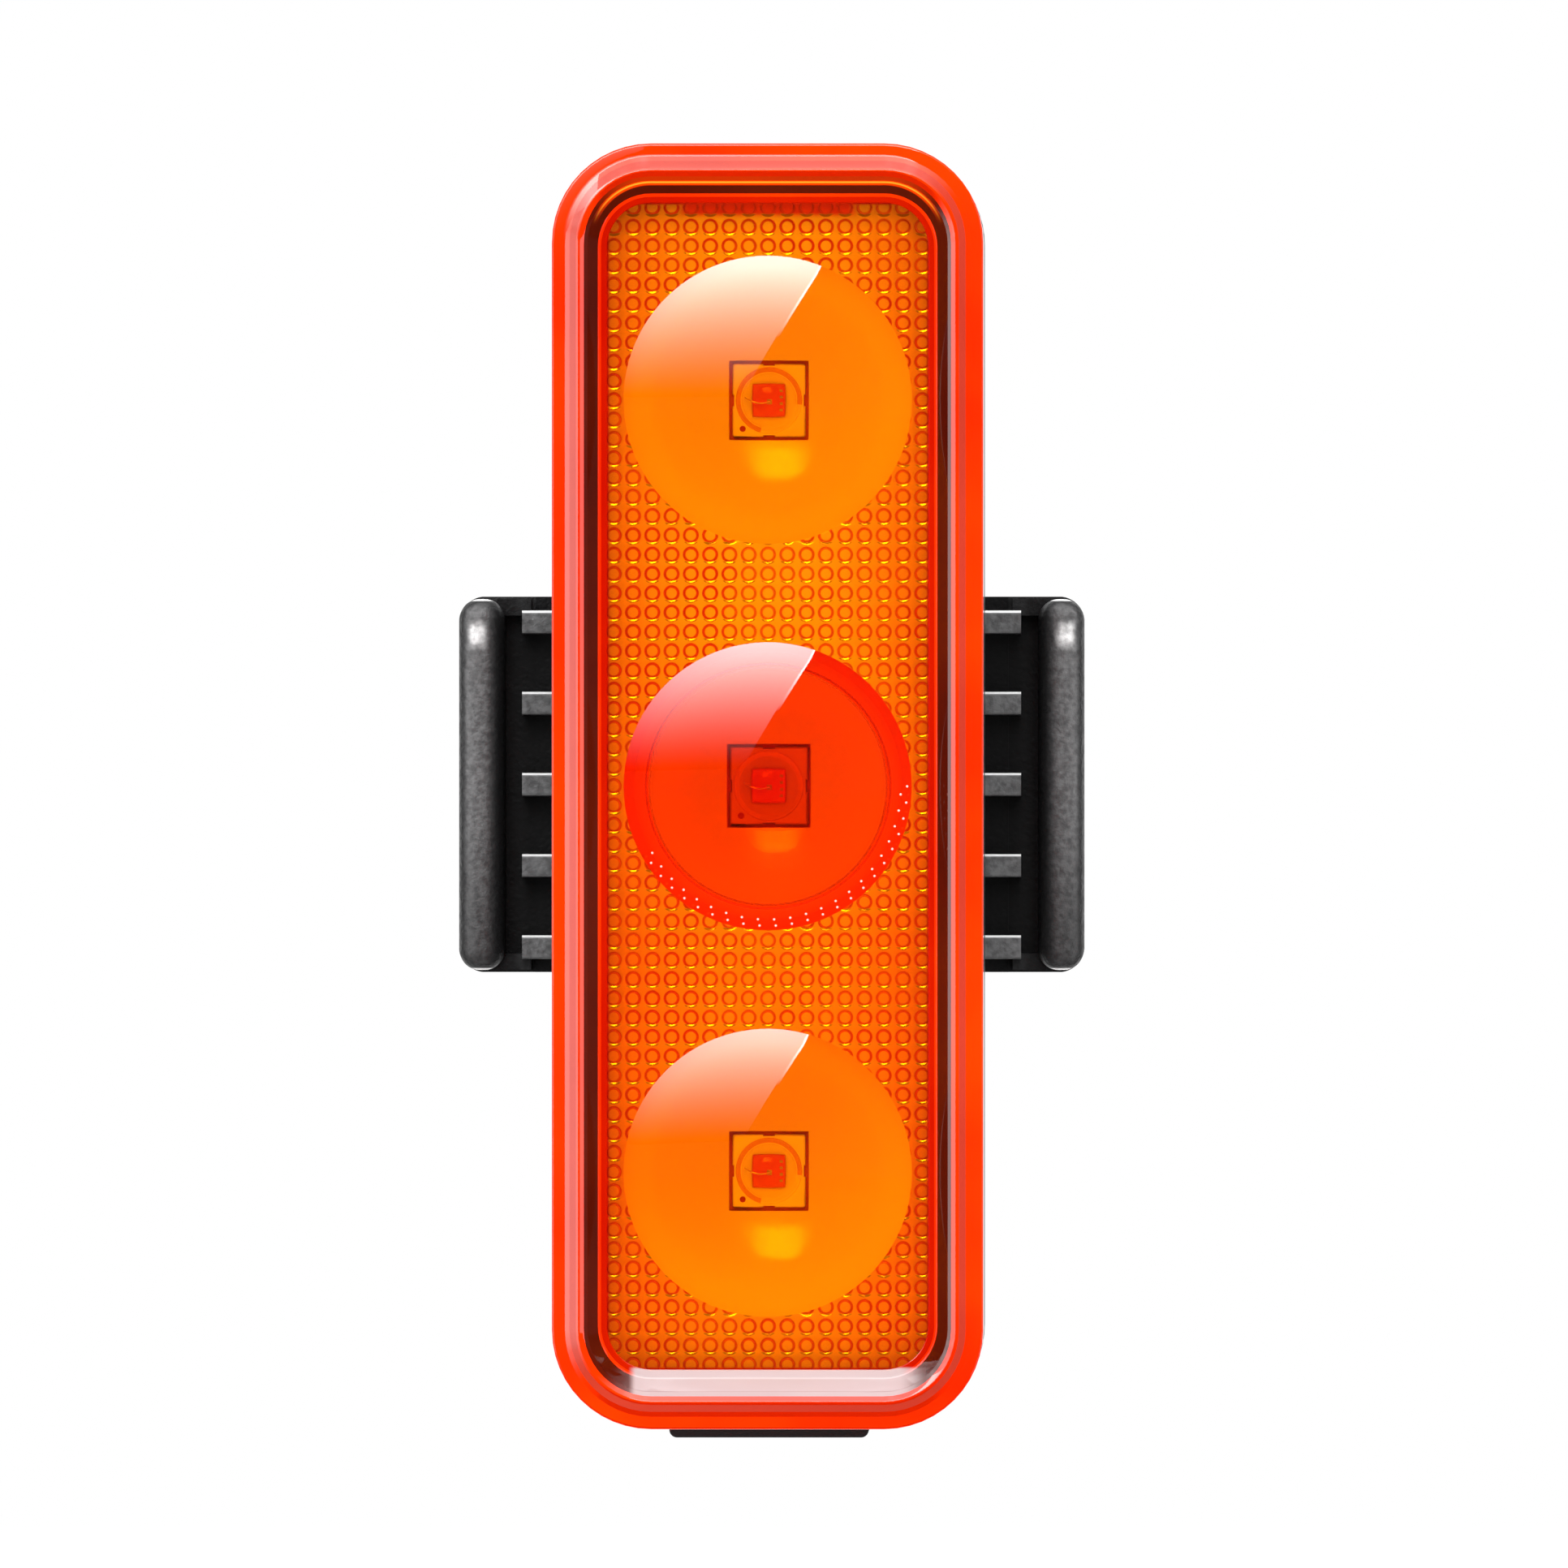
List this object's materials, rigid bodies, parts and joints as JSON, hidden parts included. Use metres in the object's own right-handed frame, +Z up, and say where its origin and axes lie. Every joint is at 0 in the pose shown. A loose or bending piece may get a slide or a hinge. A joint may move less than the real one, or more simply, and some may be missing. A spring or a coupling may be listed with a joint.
{
  "type": "bicycle tail light",
  "caption": "Slim upright rechargeable bicycle tail light with clear red domed lens, on a ribbed seatpost bracket with a rubber strap.",
  "frame": {"origin": "on the seatpost's axis, at the lamp's mid height", "axes": "+Z up along the seatpost, +X to the lamp's right as seen from behind the bicycle, -Y out of the lens towards following traffic"},
  "size_m": [0.0366, 0.0585, 0.0752],
  "materials": {
    "red_clear_plastic": "clear red polycarbonate, polished",
    "deep_red_plastic": "deeper red clear polycarbonate",
    "black_plastic": "black, fine moulded grain",
    "black_gloss_plastic": "black, smooth",
    "bright_reflector": "vapour metallised plastic",
    "black_rubber": "black silicone rubber",
    "grey_rubber": "grey silicone rubber",
    "board_green": "solder mask on glass fibre board",
    "led_white": "white moulded package",
    "led_chip": "red semiconductor chip",
    "clear_silicone": "clear soft silicone",
    "chip_black": "black epoxy package",
    "ceramic_tan": "fired ceramic",
    "steel": "stainless steel",
    "cell_foil": "laminated aluminium pouch",
    "wire_red": "red silicone insulation",
    "wire_black": "black silicone insulation",
    "amber_tape": "amber insulating film"
  },
  "bodies": {
    "bracket": {"bracket_saddle": "black_plastic", "saddle_pad": "black_rubber", "rubber_strap": "black_rubber"},
    "lamp": {"lens_cover": "red_clear_plastic", "bezel_frame": "black_gloss_plastic", "reflector": "bright_reflector", "middle_lens": "deep_red_plastic", "led_base_top": "led_white", "led_die_top": "led_chip", "led_dome_top": "clear_silicone", "led_base_middle": "led_white", "led_die_middle": "led_chip", "led_dome_middle": "clear_silicone", "led_base_bottom": "led_white", "led_die_bottom": "led_chip", "led_dome_bottom": "clear_silicone", "circuit_board": "board_green", "microcontroller": "chip_black", "charger_chip": "chip_black", "inductor": "chip_black", "capacitors": "ceramic_tan", "switch_body": "chip_black", "button_seal": "grey_rubber", "socket_shell": "steel", "socket_tongue": "chip_black", "rear_housing": "black_plastic", "housing_gasket": "grey_rubber", "housing_screws": "steel", "mounting_plate": "black_plastic", "plate_screws": "steel", "battery_cell": "cell_foil", "battery_foam": "grey_rubber", "battery_guard": "amber_tape", "battery_lead_positive": "wire_red", "battery_lead_negative": "wire_black", "port_cover_anchor": "black_rubber"},
    "power_button": {"power_button": "black_rubber", "switch_plunger": "chip_black"},
    "port_cover": {"port_cover": "black_rubber"}
  },
  "joints": [
    {"name": "lamp_slide", "type": "slide", "parent": "bracket", "child": "lamp", "axis": [0, 0, 1], "range_m": [0, 0.024]},
    {"name": "button_press", "type": "slide", "parent": "lamp", "child": "power_button", "axis": [0, 0, -1], "range_m": [0, 0.00045], "stiffness_N_per_m": 3000},
    {"name": "port_cover_hinge", "type": "hinge", "parent": "lamp", "child": "port_cover", "pos_m": [0, -0.0276, -0.03791], "axis": [1, 0, 0], "range_deg": [0, 120]}
  ]
}
